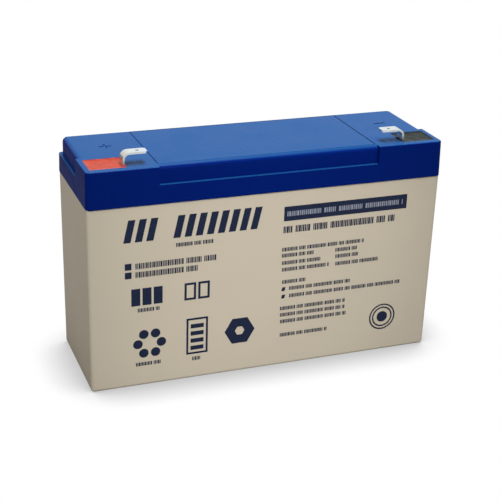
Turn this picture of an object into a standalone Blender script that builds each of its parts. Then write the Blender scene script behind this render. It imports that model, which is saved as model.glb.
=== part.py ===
"""Sealed lead acid battery, 6 volts, three cells in one row.

Metres, +Z up. The origin is on the floor under the middle of the case. X runs along the length,
the front is at -Y, and the positive terminal is at the -X end of the front edge.
The case, the lid, the terminals and what the cells hold are separate pieces.
"""

import math

import bmesh
import bpy
from mathutils import Vector

NAME = "sealed_lead_acid_battery"

# Overall size
LENGTH = 0.1510
WIDTH = 0.0500
LID_TOP = 0.0940
TAB_RISE = 0.0050

# Clearance between pieces that touch on the real battery
SEAT = 0.0003

# Container
CONTAINER_WALL = 0.0024
CONTAINER_FLOOR = 0.0026
CONTAINER_DRAFT = 0.00035
CONTAINER_CORNER = 0.0017
CONTAINER_BASE_ROUND = 0.0016
RIM_WALL = 0.0012
PARTITION = 0.0018
CELLS = 3
CELL_CORNER = 0.0012
CELL_FLOOR_ROUND = 0.0008

# Lid moulding
LID_HEIGHT = 0.0150
LID_OVERHANG = 0.0002
LID_DRAFT = 0.00025
LID_CORNER = 0.0019
LID_TOP_ROUND = 0.0005
LEDGE_DROP = 0.0074
LEDGE_WALL = 0.0012
FRONT_STEP = 0.0018
BACK_STEP = 0.0019
END_STEP = 0.0013
DECK_ROUND = 0.0019
DECK_CORNER = 0.0024
TERMINAL_BLOCK_LENGTH = 0.0290
TERMINAL_BLOCK_WIDTH = 0.0180
COLLAR_WALL = 0.0012
COLLAR_LIFT = 0.0024
DECK_WALL = 0.0020
SEAL_BEAD = 0.0008

# Cover plate over the valves
COVER_THICKNESS = 0.0016
COVER_MARGIN = 0.0021
COVER_END_MARGIN = 0.0005
COVER_CORNER = 0.0008
COVER_EDGE_ROUND = 0.0002

# Valves
WELL_RADIUS = 0.0062
WELL_DEPTH = 0.0063
WELL_WALL = 0.0016
NOZZLE_RADIUS = 0.0032
NOZZLE_BORE = 0.0014
CAP_WALL = 0.0015
CAP_ROOF = 0.0014
CAP_EDGE = 0.0005
CAP_LIFT = 0.0008

# Terminals
POCKET_INSET_X = 0.0024
POCKET_INSET_Y = 0.0033
POCKET_LENGTH = 0.0146
POCKET_WIDTH = 0.0123
POCKET_DEPTH = 0.0056
POCKET_WALL = 0.0016
POCKET_CORNER = 0.0006
RESIN_DIP = 0.0002
TAB_WIDTH = 0.00475
TAB_THICKNESS = 0.0008
TAB_BEND = 0.0024
TAB_REACH = 0.0095
TAB_FOOT = 0.0075
TAB_STANDOFF = 0.0004
TAB_TIP_CORNER = 0.0007
TAB_HOLE = 0.0007
TAB_HOLE_SETBACK = 0.0036
TAB_INSET_Y = 0.0076
POST_RADIUS = 0.0022
POST_SETBACK = 0.0052
ARM_THICKNESS = 0.0030
ARM_LIFT = 0.0030

# Polarity marks moulded into the lid
MARK_LENGTH = 0.0052
MARK_STROKE = 0.0009
MARK_DEPTH = 0.00025
MARK_INSET_X = 0.0150
MARK_INSET_Y = 0.0300

# Plates, separators and lead work inside the cells
POSITIVE_PLATES = 4
POSITIVE_SHARE = 0.35
NEGATIVE_SHARE = 0.25
PLATE_SIDE_CLEARANCE = 0.0016
STACK_CLEARANCE = 0.0004
SEPARATOR_SIDE_CLEARANCE = 0.0005
SEPARATOR_OVERLAP = 0.0020
LUG_THICKNESS = 0.0016
LUG_WIDTH = 0.0070
LUG_LENGTH = 0.0035
LUG_OFFSET = 0.0110
STRAP_THICKNESS = 0.0035
STRAP_DROP = 0.0005
STRAP_BORDER = 0.0010
LINK_EAR = 0.0020
LINK_EAR_WIDTH = 0.0080
LINK_RADIUS = 0.0026
LINK_EAR_BORDER = 0.0007

# Smoothness of round shapes
CORNER_STEPS = 5
EDGE_STEPS = 3
ROUND_STEPS = 32
BEND_STEPS = 10
SMOOTH_ANGLE = math.radians(35)
PAST = 0.0020

# Heights that follow from the sizes above
LEDGE = LID_TOP - LEDGE_DROP
LID_BASE = LID_TOP - LID_HEIGHT
SHOULDER = LID_BASE - SEAT
GROOVE_ROOF = LEDGE - LEDGE_WALL
RIM_TOP = GROOVE_ROOF - SEAT - SEAL_BEAD - SEAT
COLLAR_BASE = SHOULDER + COLLAR_LIFT
COVER_SEAT = LID_TOP - COVER_THICKNESS - SEAT
HEADSPACE_ROOF = COVER_SEAT - DECK_WALL
WELL_FLOOR = COVER_SEAT - WELL_DEPTH
POCKET_FLOOR = LID_TOP - POCKET_DEPTH
STRAP_TOP = SHOULDER - STRAP_DROP
STRAP_BASE = STRAP_TOP - STRAP_THICKNESS
PLATE_TOP = STRAP_BASE - LUG_LENGTH
ARM_BASE = STRAP_TOP + ARM_LIFT
LINK_HEIGHT = (STRAP_TOP + STRAP_BASE) / 2 + LINK_EAR_BORDER

# Widths and lengths that follow from the sizes above, measured from the middle
HALF_LENGTH = LENGTH / 2
HALF_WIDTH = WIDTH / 2
CONTAINER_HALF_LENGTH = HALF_LENGTH - LID_OVERHANG
CONTAINER_HALF_WIDTH = HALF_WIDTH - LID_OVERHANG
RIM_REBATE = CONTAINER_WALL - RIM_WALL
RIM_HALF_LENGTH = CONTAINER_HALF_LENGTH - RIM_REBATE
RIM_HALF_WIDTH = CONTAINER_HALF_WIDTH - RIM_REBATE
INNER_HALF_LENGTH = CONTAINER_HALF_LENGTH - CONTAINER_WALL
INNER_HALF_WIDTH = CONTAINER_HALF_WIDTH - CONTAINER_WALL
CELL_LENGTH = (2 * INNER_HALF_LENGTH - (CELLS - 1) * PARTITION) / CELLS
CELL_PITCH = CELL_LENGTH + PARTITION
TAB_Y = -HALF_WIDTH + TAB_INSET_Y
POCKET_OUTER_X = HALF_LENGTH - POCKET_INSET_X
POCKET_INNER_X = POCKET_OUTER_X - POCKET_LENGTH
POCKET_FRONT_Y = -HALF_WIDTH + POCKET_INSET_Y
POCKET_BACK_Y = POCKET_FRONT_Y + POCKET_WIDTH
TAB_X = POCKET_INNER_X + TAB_STANDOFF + TAB_THICKNESS / 2
POST_X = TAB_X + POST_SETBACK

# The stack of plates: a plate of each kind, two separator sheets and four gaps fill one pitch
NEGATIVE_PLATES = POSITIVE_PLATES + 1
STACK_LENGTH = CELL_LENGTH - 2 * CONTAINER_DRAFT - 2 * STACK_CLEARANCE
PLATE_PITCH = (STACK_LENGTH + 4 * SEAT * NEGATIVE_SHARE) / (POSITIVE_PLATES + NEGATIVE_SHARE)
PITCH_FILL = PLATE_PITCH - 4 * SEAT
POSITIVE_THICKNESS = PITCH_FILL * POSITIVE_SHARE
NEGATIVE_THICKNESS = PITCH_FILL * NEGATIVE_SHARE
SEPARATOR = (PITCH_FILL - POSITIVE_THICKNESS - NEGATIVE_THICKNESS) / 2
PLATE_BASE = CONTAINER_FLOOR + SEAT + SEPARATOR + SEAT
PLATE_HALF_WIDTH = INNER_HALF_WIDTH - CONTAINER_DRAFT - PLATE_SIDE_CLEARANCE
SEPARATOR_HALF_WIDTH = INNER_HALF_WIDTH - CONTAINER_DRAFT - SEPARATOR_SIDE_CLEARANCE

# Finishes: colour, roughness, metallic
FINISHES = {
    "container_plastic": ((0.47, 0.42, 0.33), 0.42, 0.0),
    "lid_plastic": ((0.006, 0.05, 0.27), 0.34, 0.0),
    "tinned_brass": ((0.74, 0.71, 0.66), 0.24, 1.0),
    "red_resin": ((0.78, 0.07, 0.02), 0.35, 0.0),
    "black_resin": ((0.03, 0.03, 0.03), 0.22, 0.0),
    "lead": ((0.30, 0.31, 0.33), 0.55, 1.0),
    "positive_paste": ((0.10, 0.05, 0.03), 0.80, 0.0),
    "glass_mat": ((0.82, 0.83, 0.80), 0.95, 0.0),
    "valve_rubber": ((0.02, 0.02, 0.02), 0.70, 0.0),
    "seal_epoxy": ((0.10, 0.10, 0.11), 0.40, 0.0),
}


def clear_scene():
    for old in list(bpy.data.objects):
        bpy.data.objects.remove(old)


def new_collection(name, inside):
    collection = bpy.data.collections.new(name)
    inside.children.link(collection)
    return collection


def finish_material(name):
    made = bpy.data.materials.get(name)
    if made:
        return made
    colour, roughness, metallic = FINISHES[name]
    made = bpy.data.materials.new(name)
    made.use_nodes = True
    shader = made.node_tree.nodes["Principled BSDF"]
    shader.inputs["Base Color"].default_value = (*colour, 1.0)
    shader.inputs["Roughness"].default_value = roughness
    shader.inputs["Metallic"].default_value = metallic
    made.diffuse_color = (*colour, 1.0)
    return made


def smooth_by_angle():
    """Node group that shades faces smooth and keeps the edges over SMOOTH_ANGLE sharp."""
    group = bpy.data.node_groups.get("smooth_by_angle")
    if group:
        return group
    group = bpy.data.node_groups.new("smooth_by_angle", "GeometryNodeTree")
    group.interface.new_socket("Geometry", in_out="INPUT", socket_type="NodeSocketGeometry")
    group.interface.new_socket("Geometry", in_out="OUTPUT", socket_type="NodeSocketGeometry")
    start = group.nodes.new("NodeGroupInput")
    end = group.nodes.new("NodeGroupOutput")
    angle = group.nodes.new("GeometryNodeInputMeshEdgeAngle")
    below = group.nodes.new("FunctionNodeCompare")
    below.operation = "LESS_THAN"
    below.inputs["B"].default_value = SMOOTH_ANGLE
    faces = group.nodes.new("GeometryNodeSetShadeSmooth")
    edges = group.nodes.new("GeometryNodeSetShadeSmooth")
    edges.domain = "EDGE"
    group.links.new(angle.outputs["Unsigned Angle"], below.inputs["A"])
    group.links.new(start.outputs["Geometry"], faces.inputs["Geometry"])
    group.links.new(faces.outputs["Geometry"], edges.inputs["Geometry"])
    group.links.new(below.outputs["Result"], edges.inputs["Shade Smooth"])
    group.links.new(edges.outputs["Geometry"], end.inputs["Geometry"])
    return group


def mesh_from(name, bm):
    bmesh.ops.recalc_face_normals(bm, faces=bm.faces)
    mesh = bpy.data.meshes.new(name)
    bm.to_mesh(mesh)
    bm.free()
    return mesh


def level_edges(bm, height):
    """Edges that lie flat at the given height."""
    return [edge for edge in bm.edges if all(vert.co.z == height for vert in edge.verts)]


def rounded(bm, edges, radius, steps):
    bmesh.ops.bevel(
        bm, geom=edges, offset=radius, segments=steps, profile=0.5, affect="EDGES", clamp_overlap=True
    )


def block_bmesh(low, high, corner=0.0, draft=0.0, top_round=0.0, base_round=0.0):
    """Box between two corners, narrower at its base by the draft, with its edges rounded."""
    bm = bmesh.new()
    bmesh.ops.create_cube(bm, size=1.0)
    middle = (Vector(low) + Vector(high)) / 2
    for vert in bm.verts:
        vert.co = [high[i] if vert.co[i] > 0 else low[i] for i in range(3)]
        if vert.co.z < middle.z:
            vert.co.x -= math.copysign(draft, vert.co.x - middle.x)
            vert.co.y -= math.copysign(draft, vert.co.y - middle.y)
    if corner:
        upright = [edge for edge in bm.edges if edge.verts[0].co.z != edge.verts[1].co.z]
        rounded(bm, upright, corner, CORNER_STEPS)
    levels = sorted({vert.co.z for vert in bm.verts})
    if top_round:
        rounded(bm, level_edges(bm, levels[-1]), top_round, EDGE_STEPS)
    if base_round:
        rounded(bm, level_edges(bm, levels[0]), base_round, EDGE_STEPS)
    return bm


def block(name, low, high, **rounding):
    return mesh_from(name, block_bmesh(low, high, **rounding))


def cylinder(name, radius, low, high, centre, axis="Z"):
    """Closed cylinder from low to high along its axis, through the centre point."""
    bm = bmesh.new()
    bmesh.ops.create_cone(
        bm, cap_ends=True, segments=ROUND_STEPS, radius1=radius, radius2=radius, depth=high - low
    )
    bmesh.ops.translate(bm, vec=(0, 0, (high + low) / 2), verts=bm.verts)
    if axis == "X":
        for vert in bm.verts:
            vert.co = (vert.co.z, vert.co.y, -vert.co.x)
    bmesh.ops.translate(bm, vec=centre, verts=bm.verts)
    return mesh_from(name, bm)


def bend(start, corner, end, radius):
    """Points of the arc that rounds the corner of a path, in the path's plane."""
    start, corner, end = Vector(start), Vector(corner), Vector(end)
    inward = (start - corner).normalized()
    outward = (end - corner).normalized()
    half = inward.angle(outward) / 2
    centre = corner + (inward + outward).normalized() * radius / math.sin(half)
    first = corner + inward * radius / math.tan(half) - centre
    last = corner + outward * radius / math.tan(half) - centre
    turn = first.angle_signed(last)
    points = []
    for step in range(BEND_STEPS + 1):
        angle = -turn * step / BEND_STEPS
        across = first.x * math.cos(angle) - first.y * math.sin(angle)
        along = first.x * math.sin(angle) + first.y * math.cos(angle)
        points.append(centre + Vector((across, along)))
    return points


def bent_path(corners, radius):
    """The path through the corners, each inner one rounded to the radius."""
    path = [Vector(corners[0])]
    for before, corner, after in zip(corners, corners[1:], corners[2:]):
        path += bend(before, corner, after, radius)
    return path + [Vector(corners[-1])]


def folded_sheet(name, path, half_width):
    """Open sheet that follows a path in X and Z and reaches half_width to either side in Y."""
    bm = bmesh.new()
    line = [bm.verts.new((point.x, -half_width, point.y)) for point in path]
    edges = [bm.edges.new(pair) for pair in zip(line, line[1:])]
    swept = bmesh.ops.extrude_edge_only(bm, edges=edges)["geom"]
    moved = [item for item in swept if isinstance(item, bmesh.types.BMVert)]
    bmesh.ops.translate(bm, vec=(0, 2 * half_width, 0), verts=moved)
    return mesh_from(name, bm)


class Builder:
    """Holds the collections of the parts and of the cutters, and the root that carries the parts."""

    def __init__(self):
        scene = bpy.context.scene.collection
        self.parts = new_collection(NAME, scene)
        self.cutters = new_collection("cutters", scene)
        self.root = bpy.data.objects.new("battery_root", None)
        self.parts.objects.link(self.root)

    def part(self, name, mesh, finish, location=(0, 0, 0), turn=0.0):
        made = bpy.data.objects.new(name, mesh)
        if not mesh.materials:
            mesh.materials.append(finish_material(finish))
        self.parts.objects.link(made)
        made.parent = self.root
        made.location = location
        made.rotation_euler.z = turn
        return made

    def cutter(self, mesh, group):
        """Adds a hidden shape to a group of cutters, made when it is first named."""
        inside = self.cutters.children.get(group) or new_collection(group, self.cutters)
        made = bpy.data.objects.new(mesh.name, mesh)
        inside.objects.link(made)
        made.hide_render = True
        made.display_type = "WIRE"
        return made

    def combine(self, target, operation, group):
        modifier = target.modifiers.new(group, "BOOLEAN")
        modifier.operation = operation
        modifier.solver = "EXACT"
        modifier.operand_type = "COLLECTION"
        modifier.collection = self.cutters.children[group]

    def smooth(self, target):
        modifier = target.modifiers.new("smooth_by_angle", "NODES")
        modifier.node_group = smooth_by_angle()

    def thicken(self, target, thickness):
        modifier = target.modifiers.new("thickness", "SOLIDIFY")
        modifier.thickness = thickness
        modifier.offset = 0.0
        modifier.use_even_offset = True


def cell_centre(cell):
    return (cell - (CELLS - 1) / 2) * CELL_PITCH


def positive_side(cell):
    """The side of the case, -1 for the front, on which a cell's positive strap lies."""
    return -1 if cell % 2 == 0 else 1


def build_cell_cutters(builder):
    """The hollows of the cells, which the container and the seal bead share."""
    for cell in range(CELLS):
        middle = cell_centre(cell)
        low = (middle - CELL_LENGTH / 2, -INNER_HALF_WIDTH, CONTAINER_FLOOR)
        high = (middle + CELL_LENGTH / 2, INNER_HALF_WIDTH, GROOVE_ROOF)
        mesh = block(
            f"cell_{cell + 1}_cutter", low, high, corner=CELL_CORNER, draft=CONTAINER_DRAFT,
            base_round=CELL_FLOOR_ROUND,
        )
        builder.cutter(mesh, "cells")
    for joint in range(CELLS - 1):
        between = (cell_centre(joint) + cell_centre(joint + 1)) / 2
        centre = (between, -positive_side(joint) * LUG_OFFSET, LINK_HEIGHT)
        hole = cylinder(
            f"link_hole_{joint + 1}_cutter", LINK_RADIUS + SEAT, -PARTITION, PARTITION, centre, "X"
        )
        builder.cutter(hole, "link_holes")


def build_container(builder):
    bm = block_bmesh(
        (-CONTAINER_HALF_LENGTH, -CONTAINER_HALF_WIDTH, 0),
        (CONTAINER_HALF_LENGTH, CONTAINER_HALF_WIDTH, SHOULDER),
        corner=CONTAINER_CORNER, draft=CONTAINER_DRAFT, base_round=CONTAINER_BASE_ROUND,
    )
    top = max(bm.faces, key=lambda face: face.calc_center_median().z)
    bmesh.ops.inset_region(bm, faces=[top], thickness=RIM_REBATE, use_even_offset=True)
    raised = bmesh.ops.extrude_face_region(bm, geom=[top])["geom"]
    verts = [item for item in raised if isinstance(item, bmesh.types.BMVert)]
    bmesh.ops.translate(bm, vec=(0, 0, RIM_TOP - SHOULDER), verts=verts)
    bmesh.ops.delete(bm, geom=[top], context="FACES_ONLY")
    container = builder.part("container", mesh_from("container", bm), "container_plastic")
    builder.combine(container, "DIFFERENCE", "cells")
    builder.combine(container, "DIFFERENCE", "link_holes")
    builder.smooth(container)


def build_seal_bead(builder):
    """The resin in the lid's groove, which joins the lid to the rim and to the partitions."""
    mesh = block(
        "seal_bead",
        (-RIM_HALF_LENGTH, -RIM_HALF_WIDTH, RIM_TOP + SEAT),
        (RIM_HALF_LENGTH, RIM_HALF_WIDTH, RIM_TOP + SEAT + SEAL_BEAD),
        corner=CONTAINER_CORNER - RIM_REBATE,
    )
    bead = builder.part("seal_bead", mesh, "seal_epoxy")
    builder.combine(bead, "DIFFERENCE", "cells")
    builder.smooth(bead)


def build_step_cutter(builder):
    """What the lid loses above its ledge: all but the deck and the two terminal blocks."""
    deck = block(
        "lid_deck_form",
        (-HALF_LENGTH + END_STEP, -HALF_WIDTH + FRONT_STEP, LEDGE - PAST),
        (HALF_LENGTH - END_STEP, HALF_WIDTH - BACK_STEP, LID_TOP),
        corner=DECK_CORNER, top_round=DECK_ROUND,
    )
    builder.cutter(deck, "lid_kept_forms")
    for side in (-1, 1):
        ends = sorted((side * (HALF_LENGTH + PAST), side * (HALF_LENGTH - TERMINAL_BLOCK_LENGTH)))
        kept = block(
            f"lid_terminal_form_{ends[0] > 0:d}",
            (ends[0], -HALF_WIDTH - PAST, LEDGE - PAST),
            (ends[1], -HALF_WIDTH + TERMINAL_BLOCK_WIDTH, LID_TOP + PAST),
        )
        builder.cutter(kept, "lid_kept_forms")
    slab = block(
        "lid_step_cutter",
        (-HALF_LENGTH - 2 * PAST, -HALF_WIDTH - 2 * PAST, LEDGE),
        (HALF_LENGTH + 2 * PAST, HALF_WIDTH + 2 * PAST, LID_TOP + 2 * PAST),
    )
    step = builder.cutter(slab, "lid_steps")
    builder.combine(step, "DIFFERENCE", "lid_kept_forms")


def build_lid_hollows(builder):
    """The space for the container's rim, the collars that enter the cells, and the headspaces."""
    rim_space = block(
        "lid_rim_space",
        (-RIM_HALF_LENGTH - SEAT, -RIM_HALF_WIDTH - SEAT, LID_BASE - PAST),
        (RIM_HALF_LENGTH + SEAT, RIM_HALF_WIDTH + SEAT, GROOVE_ROOF),
        corner=CONTAINER_CORNER - RIM_REBATE + SEAT,
    )
    builder.cutter(rim_space, "lid_rim_space")
    for cell in range(CELLS):
        middle = cell_centre(cell)
        reach = CELL_LENGTH / 2 - SEAT
        side = INNER_HALF_WIDTH - SEAT
        collar = block(
            f"lid_collar_{cell + 1}",
            (middle - reach, -side, COLLAR_BASE), (middle + reach, side, LEDGE), corner=CELL_CORNER,
        )
        builder.cutter(collar, "lid_collars")
        reach -= COLLAR_WALL
        side -= COLLAR_WALL
        headspace = block(
            f"lid_headspace_{cell + 1}",
            (middle - reach, -side, LID_BASE), (middle + reach, side, HEADSPACE_ROOF), corner=CELL_CORNER,
        )
        builder.cutter(headspace, "lid_headspaces")


def cover_half_sizes():
    half_x = HALF_LENGTH - TERMINAL_BLOCK_LENGTH - COVER_END_MARGIN
    half_y = HALF_WIDTH - max(FRONT_STEP, BACK_STEP) - COVER_MARGIN
    return half_x, half_y


def valve_centres():
    """One valve for each cell: an end cell's lies midway between its partition and the cover's end."""
    beside_partition = (CELLS / 2 - 1) * CELL_PITCH + PARTITION / 2 + SEAT + COLLAR_WALL
    end = (beside_partition + cover_half_sizes()[0]) / 2
    return [-end] + [cell_centre(cell) for cell in range(1, CELLS - 1)] + [end]


def build_valve_wells(builder):
    for index, x in enumerate(valve_centres(), 1):
        centre = (x, 0, 0)
        boss_base = WELL_FLOOR - WELL_WALL
        boss_top = HEADSPACE_ROOF + DECK_WALL / 2
        well_top = LID_TOP + PAST
        boss = cylinder(f"well_boss_{index}", WELL_RADIUS + WELL_WALL, boss_base, boss_top, centre)
        well = cylinder(f"well_{index}", WELL_RADIUS, WELL_FLOOR, well_top, centre)
        nozzle_top = COVER_SEAT - CAP_ROOF - SEAT
        nozzle_base = WELL_FLOOR - WELL_WALL / 2
        nozzle = cylinder(f"nozzle_{index}", NOZZLE_RADIUS, nozzle_base, nozzle_top, centre)
        bore = cylinder(f"nozzle_bore_{index}", NOZZLE_BORE, boss_base - PAST, well_top, centre)
        builder.cutter(boss, "lid_bosses")
        builder.cutter(well, "lid_wells")
        builder.cutter(nozzle, "lid_nozzles")
        builder.cutter(bore, "lid_bores")


def along_x(side, inner, outer):
    """The low and high X of a span given by its distances from the middle, on one side."""
    return sorted((side * inner, side * outer))


def build_terminal_pockets(builder):
    for side, pole in ((-1, "positive"), (1, "negative")):
        west, east = along_x(side, POCKET_INNER_X - POCKET_WALL, HALF_LENGTH - END_STEP / 2)
        boss = block(
            f"{pole}_boss",
            (west, -HALF_WIDTH + FRONT_STEP, POCKET_FLOOR - POCKET_WALL),
            (east, POCKET_BACK_Y + POCKET_WALL, HEADSPACE_ROOF + DECK_WALL / 2),
        )
        builder.cutter(boss, "lid_bosses")
        west, east = along_x(side, POCKET_INNER_X, POCKET_OUTER_X)
        pocket = block(
            f"{pole}_pocket",
            (west, POCKET_FRONT_Y, POCKET_FLOOR), (east, POCKET_BACK_Y, LID_TOP + PAST),
            corner=POCKET_CORNER,
        )
        builder.cutter(pocket, "lid_wells")
        hole = cylinder(
            f"{pole}_post_hole", POST_RADIUS + SEAT, POCKET_FLOOR - POCKET_WALL - PAST,
            POCKET_FLOOR + PAST, (side * POST_X, TAB_Y, 0),
        )
        builder.cutter(hole, "lid_bores")


def build_polarity_marks(builder):
    """A plus by the positive terminal and a minus by the negative one, sunk into the lid."""
    depth = (LID_TOP - MARK_DEPTH, LID_TOP + PAST)
    half_length = MARK_LENGTH / 2
    half_stroke = MARK_STROKE / 2
    level = (half_length, half_stroke)
    upright = (half_stroke, half_length)
    strokes = [(-1, *level), (-1, *upright), (1, *level)]
    for index, (side, half_x, half_y) in enumerate(strokes, 1):
        x = side * (HALF_LENGTH - MARK_INSET_X)
        y = -HALF_WIDTH + MARK_INSET_Y
        low = (x - half_x, y - half_y, depth[0])
        high = (x + half_x, y + half_y, depth[1])
        stroke = block(f"mark_{index}", low, high)
        builder.cutter(stroke, "lid_marks")


def build_lid(builder):
    build_step_cutter(builder)
    build_lid_hollows(builder)
    build_valve_wells(builder)
    build_terminal_pockets(builder)
    build_polarity_marks(builder)
    half_x, half_y = cover_half_sizes()
    rebate = block(
        "cover_rebate",
        (-half_x - SEAT, -half_y - SEAT, COVER_SEAT), (half_x + SEAT, half_y + SEAT, LID_TOP + PAST),
        corner=COVER_CORNER + SEAT,
    )
    builder.cutter(rebate, "lid_wells")
    bm = block_bmesh(
        (-HALF_LENGTH, -HALF_WIDTH, LID_BASE), (HALF_LENGTH, HALF_WIDTH, LID_TOP),
        corner=LID_CORNER, top_round=LID_TOP_ROUND,
    )
    for vert in bm.verts:
        drawn_in = LID_DRAFT * (vert.co.z - LID_BASE) / LID_HEIGHT
        vert.co.x *= 1 - drawn_in / HALF_LENGTH
        vert.co.y *= 1 - drawn_in / HALF_WIDTH
    lid = builder.part("lid", mesh_from("lid", bm), "lid_plastic")
    builder.combine(lid, "DIFFERENCE", "lid_steps")
    builder.combine(lid, "DIFFERENCE", "lid_rim_space")
    builder.combine(lid, "UNION", "lid_collars")
    builder.combine(lid, "DIFFERENCE", "lid_headspaces")
    builder.combine(lid, "UNION", "lid_bosses")
    builder.combine(lid, "DIFFERENCE", "lid_wells")
    builder.combine(lid, "UNION", "lid_nozzles")
    builder.combine(lid, "DIFFERENCE", "lid_bores")
    builder.combine(lid, "DIFFERENCE", "lid_marks")
    builder.smooth(lid)


def build_cover_plate(builder):
    half_x, half_y = cover_half_sizes()
    mesh = block(
        "cover_plate",
        (-half_x, -half_y, COVER_SEAT + SEAT), (half_x, half_y, LID_TOP),
        corner=COVER_CORNER, top_round=COVER_EDGE_ROUND,
    )
    builder.smooth(builder.part("cover_plate", mesh, "lid_plastic"))


def build_valve_caps(builder):
    """Rubber cups that sit over the nozzles, under the cover plate."""
    inner = NOZZLE_RADIUS + SEAT
    outer = inner + CAP_WALL
    height = COVER_SEAT - WELL_FLOOR - CAP_LIFT
    profile = [
        (0, 0), (outer - CAP_EDGE, 0), (outer, -CAP_EDGE), (outer, CAP_EDGE - height),
        (outer - CAP_EDGE, -height), (inner, -height), (inner, -CAP_ROOF), (0, -CAP_ROOF),
    ]
    bm = bmesh.new()
    line = [bm.verts.new((radius, 0, z)) for radius, z in profile]
    for pair in zip(line, line[1:]):
        bm.edges.new(pair)
    mesh = bpy.data.meshes.new("valve_cap")
    bm.to_mesh(mesh)
    bm.free()
    for index, x in enumerate(valve_centres(), 1):
        cap = builder.part(f"valve_cap_{index}", mesh, "valve_rubber", location=(x, 0, COVER_SEAT))
        screw = cap.modifiers.new("turn", "SCREW")
        screw.axis = "Z"
        screw.steps = ROUND_STEPS
        screw.render_steps = ROUND_STEPS
        screw.use_merge_vertices = True
        screw.merge_threshold = 0.00001
        builder.smooth(cap)


def tab_path():
    """Side view of a terminal tab about its upright part: foot, riser and blade."""
    foot = POCKET_FLOOR + SEAT + TAB_THICKNESS / 2 - LID_TOP
    blade = TAB_RISE - TAB_THICKNESS / 2
    corners = [(-TAB_FOOT, foot), (0, foot), (0, blade), (TAB_REACH, blade)]
    return bent_path(corners, TAB_BEND)


def build_tabs(builder):
    hole = cylinder(
        "tab_hole", TAB_HOLE, -PAST, PAST, (TAB_REACH - TAB_HOLE_SETBACK, 0, TAB_RISE)
    )
    mesh = folded_sheet("terminal_tab", tab_path(), TAB_WIDTH / 2)
    bm = bmesh.new()
    bm.from_mesh(mesh)
    tip = [vert for vert in bm.verts if vert.co.x > TAB_REACH - TAB_THICKNESS]
    bmesh.ops.bevel(bm, geom=tip, offset=TAB_TIP_CORNER, segments=1, profile=0.5, affect="VERTICES")
    bm.to_mesh(mesh)
    bm.free()
    for side, pole in ((-1, "positive"), (1, "negative")):
        place = Vector((side * TAB_X, TAB_Y, LID_TOP))
        turn = math.pi if side > 0 else 0.0
        tab = builder.part(f"terminal_tab_{pole}", mesh, "tinned_brass", place, turn)
        drill = builder.cutter(hole, f"tab_hole_{pole}")
        drill.location = place
        drill.rotation_euler.z = turn
        builder.thicken(tab, TAB_THICKNESS)
        builder.combine(tab, "DIFFERENCE", f"tab_hole_{pole}")
        builder.smooth(tab)


def build_resin_pads(builder):
    """The resin that fills each terminal pocket round the tab."""
    base = POCKET_FLOOR + SEAT + TAB_THICKNESS + SEAT
    for side, pole, finish in ((-1, "positive", "red_resin"), (1, "negative", "black_resin")):
        west, east = along_x(side, POCKET_INNER_X + SEAT, POCKET_OUTER_X - SEAT)
        mesh = block(
            f"resin_pad_{pole}",
            (west, POCKET_FRONT_Y + SEAT, base),
            (east, POCKET_BACK_Y - SEAT, LID_TOP - RESIN_DIP),
            corner=POCKET_CORNER - SEAT,
        )
        pad = builder.part(f"resin_pad_{pole}", mesh, finish)
        slot_outer = TAB_X + TAB_THICKNESS / 2 + SEAT
        west, east = along_x(side, POCKET_INNER_X - PAST, slot_outer)
        half = TAB_WIDTH / 2 + SEAT
        slot = block(
            f"resin_slot_{pole}", (west, TAB_Y - half, base - PAST), (east, TAB_Y + half, LID_TOP + PAST)
        )
        builder.cutter(slot, f"resin_slot_{pole}")
        west, east = along_x(side, TAB_X, TAB_X + TAB_THICKNESS / 2 + TAB_BEND)
        relief = block(
            f"resin_relief_{pole}",
            (west, TAB_Y - half, base - PAST), (east, TAB_Y + half, base + TAB_BEND),
        )
        builder.cutter(relief, f"resin_slot_{pole}")
        builder.combine(pad, "DIFFERENCE", f"resin_slot_{pole}")
        builder.smooth(pad)


def build_posts(builder):
    """Cast lead posts that carry the end straps' current up into the terminal pockets."""
    reach = LUG_WIDTH / 2 + STRAP_BORDER
    ends = ((-1, "positive", positive_side(0)), (1, "negative", -positive_side(CELLS - 1)))
    for side, pole, strap_side in ends:
        x = side * POST_X
        strap_y = strap_side * LUG_OFFSET
        front = TAB_Y - POST_RADIUS
        mesh = block(
            f"terminal_post_{pole}",
            (x - POST_RADIUS, front, ARM_BASE),
            (x + POST_RADIUS, strap_y + reach, ARM_BASE + ARM_THICKNESS),
            top_round=TAB_TIP_CORNER,
        )
        post = builder.part(f"terminal_post_{pole}", mesh, "lead")
        riser = block(
            f"post_riser_{pole}",
            (x - POST_RADIUS + SEAT, strap_y - reach + SEAT, STRAP_TOP + SEAT),
            (x + POST_RADIUS - SEAT, strap_y + reach - SEAT, ARM_BASE + ARM_THICKNESS / 2),
        )
        column = cylinder(
            f"post_column_{pole}", POST_RADIUS - SEAT / 2, ARM_BASE + ARM_THICKNESS / 2, POCKET_FLOOR,
            (x, TAB_Y, 0),
        )
        builder.cutter(riser, f"post_{pole}")
        builder.cutter(column, f"post_{pole}")
        builder.combine(post, "UNION", f"post_{pole}")
        builder.smooth(post)


def plate_row(builder, name, count, thickness, low_z, high_z, centre_y, half_width, group):
    """A row of upright blocks, one for each plate of a group, as one hidden shape."""
    first = -(count - 1) / 2 * PLATE_PITCH
    mesh = block(
        name,
        (first - thickness / 2, centre_y - half_width, low_z),
        (first + thickness / 2, centre_y + half_width, high_z),
    )
    row = builder.cutter(mesh, group)
    copies = row.modifiers.new("row", "ARRAY")
    copies.count = count
    copies.use_relative_offset = False
    copies.use_constant_offset = True
    copies.constant_offset_displace = (PLATE_PITCH, 0, 0)
    return row


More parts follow.
